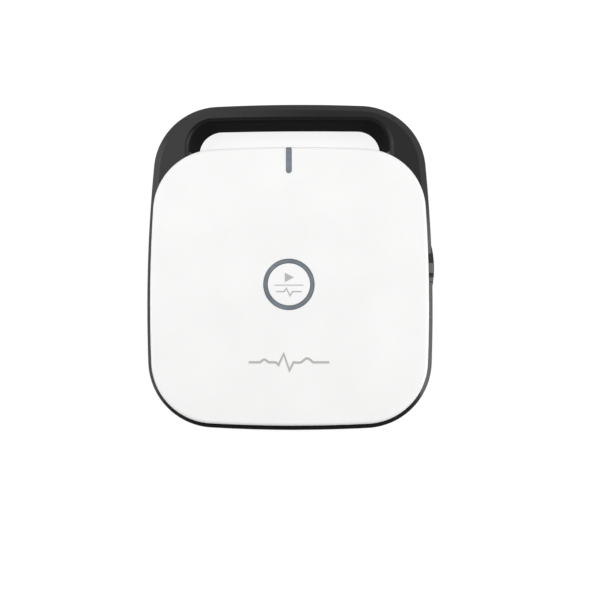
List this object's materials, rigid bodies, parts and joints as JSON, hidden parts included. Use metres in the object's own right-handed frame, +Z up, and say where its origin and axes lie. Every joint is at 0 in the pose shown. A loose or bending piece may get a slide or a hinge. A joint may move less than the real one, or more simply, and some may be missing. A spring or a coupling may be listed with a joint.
{
  "type": "pc ecg unit",
  "caption": "Flat square electrocardiogram recorder with a white front cover, round start key in a light ring, side slide switch and a dark case that forms a carrying handle.",
  "frame": {"origin": "middle of the whole outline, on the surface that the feet stand on, with the unit on its back", "axes": "+Z up out of the white front cover, +Y towards the carrying handle, +X towards the slide switch"},
  "size_m": [0.1269, 0.1444, 0.0321],
  "materials": {
    "white_cover_plastic": "smooth satin white moulding",
    "white_key_plastic": "smooth satin white",
    "grey_case_plastic": "finely textured dark grey moulding",
    "light_guide_plastic": "frosted translucent grey, unlit",
    "slider_plastic": "satin mid grey",
    "black_trim_plastic": "satin black",
    "foot_rubber": "matt black",
    "label_film": "blank satin film",
    "plated_screw_steel": "nickel plated",
    "green_board": "solder mask over glass cloth",
    "black_moulded_plastic": "moulded, matt",
    "stamped_steel": "tin plated sheet",
    "lamp_resin": "clear resin over phosphor",
    "ivory_plastic": "moulded, satin",
    "cable_film": "white film with bare ends",
    "transformer_tape": "yellow tape over the windings",
    "ferrite": "moulded ferrite",
    "capacitor_aluminium": "drawn can",
    "ceramic": "fired ceramic",
    "gold_plated_brass": "gold plated",
    "battery_pouch": "heat-sealed foil pouch",
    "foam": "closed-cell foam",
    "red_wire_sleeve": "glossy sleeve",
    "black_wire_sleeve": "glossy sleeve"
  },
  "bodies": {
    "case": {"front_cover": "white_cover_plastic", "upper_case": "grey_case_plastic", "rear_case": "grey_case_plastic", "light_ring": "light_guide_plastic", "status_light_bar": "light_guide_plastic", "slider_bezel": "black_trim_plastic", "rubber_feet": "foot_rubber", "rating_label": "label_film", "case_screws": "plated_screw_steel", "cover_screws": "plated_screw_steel", "front_board_screws": "plated_screw_steel", "main_board_screws": "plated_screw_steel", "front_board": "green_board", "main_board": "green_board", "battery_protection_board": "green_board", "key_switch_body": "black_moulded_plastic", "power_switch_body": "stamped_steel", "ring_lamps": "lamp_resin", "bar_lamps": "lamp_resin", "front_flat_socket": "ivory_plastic", "board_flat_socket": "ivory_plastic", "flat_cable": "cable_film", "processor_chip": "black_moulded_plastic", "memory_chips": "black_moulded_plastic", "converter_chip": "black_moulded_plastic", "shield_can": "stamped_steel", "wireless_module": "stamped_steel", "isolation_transformer": "transformer_tape", "power_coils": "ferrite", "electrolytic_capacitors": "capacitor_aluminium", "crystal": "stamped_steel", "buzzer": "black_moulded_plastic", "input_resistors": "black_moulded_plastic", "small_capacitors": "ceramic", "patient_socket_shell": "stamped_steel", "patient_socket_insulator": "black_moulded_plastic", "patient_socket_contacts": "gold_plated_brass", "jack_nuts": "plated_screw_steel", "usb_socket_shell": "stamped_steel", "usb_socket_tongue": "black_moulded_plastic", "battery_cell": "battery_pouch", "battery_foam_pad": "foam", "battery_wire_red": "red_wire_sleeve", "battery_wire_black": "black_wire_sleeve", "battery_plug": "ivory_plastic", "battery_header": "ivory_plastic"},
    "key": {"start_key": "white_key_plastic", "key_switch_plunger": "black_moulded_plastic"},
    "slider": {"power_slider": "slider_plastic", "power_switch_lever": "black_moulded_plastic"}
  },
  "joints": [
    {"name": "key_press", "type": "slide", "parent": "case", "child": "key", "axis": [0, 0, -1], "range_m": [0, 0.0006], "stiffness_N_per_m": 2500, "springref_m": -0.0002},
    {"name": "power_slide", "type": "slide", "parent": "case", "child": "slider", "axis": [0, 1, 0], "range_m": [0, 0.0039]}
  ]
}
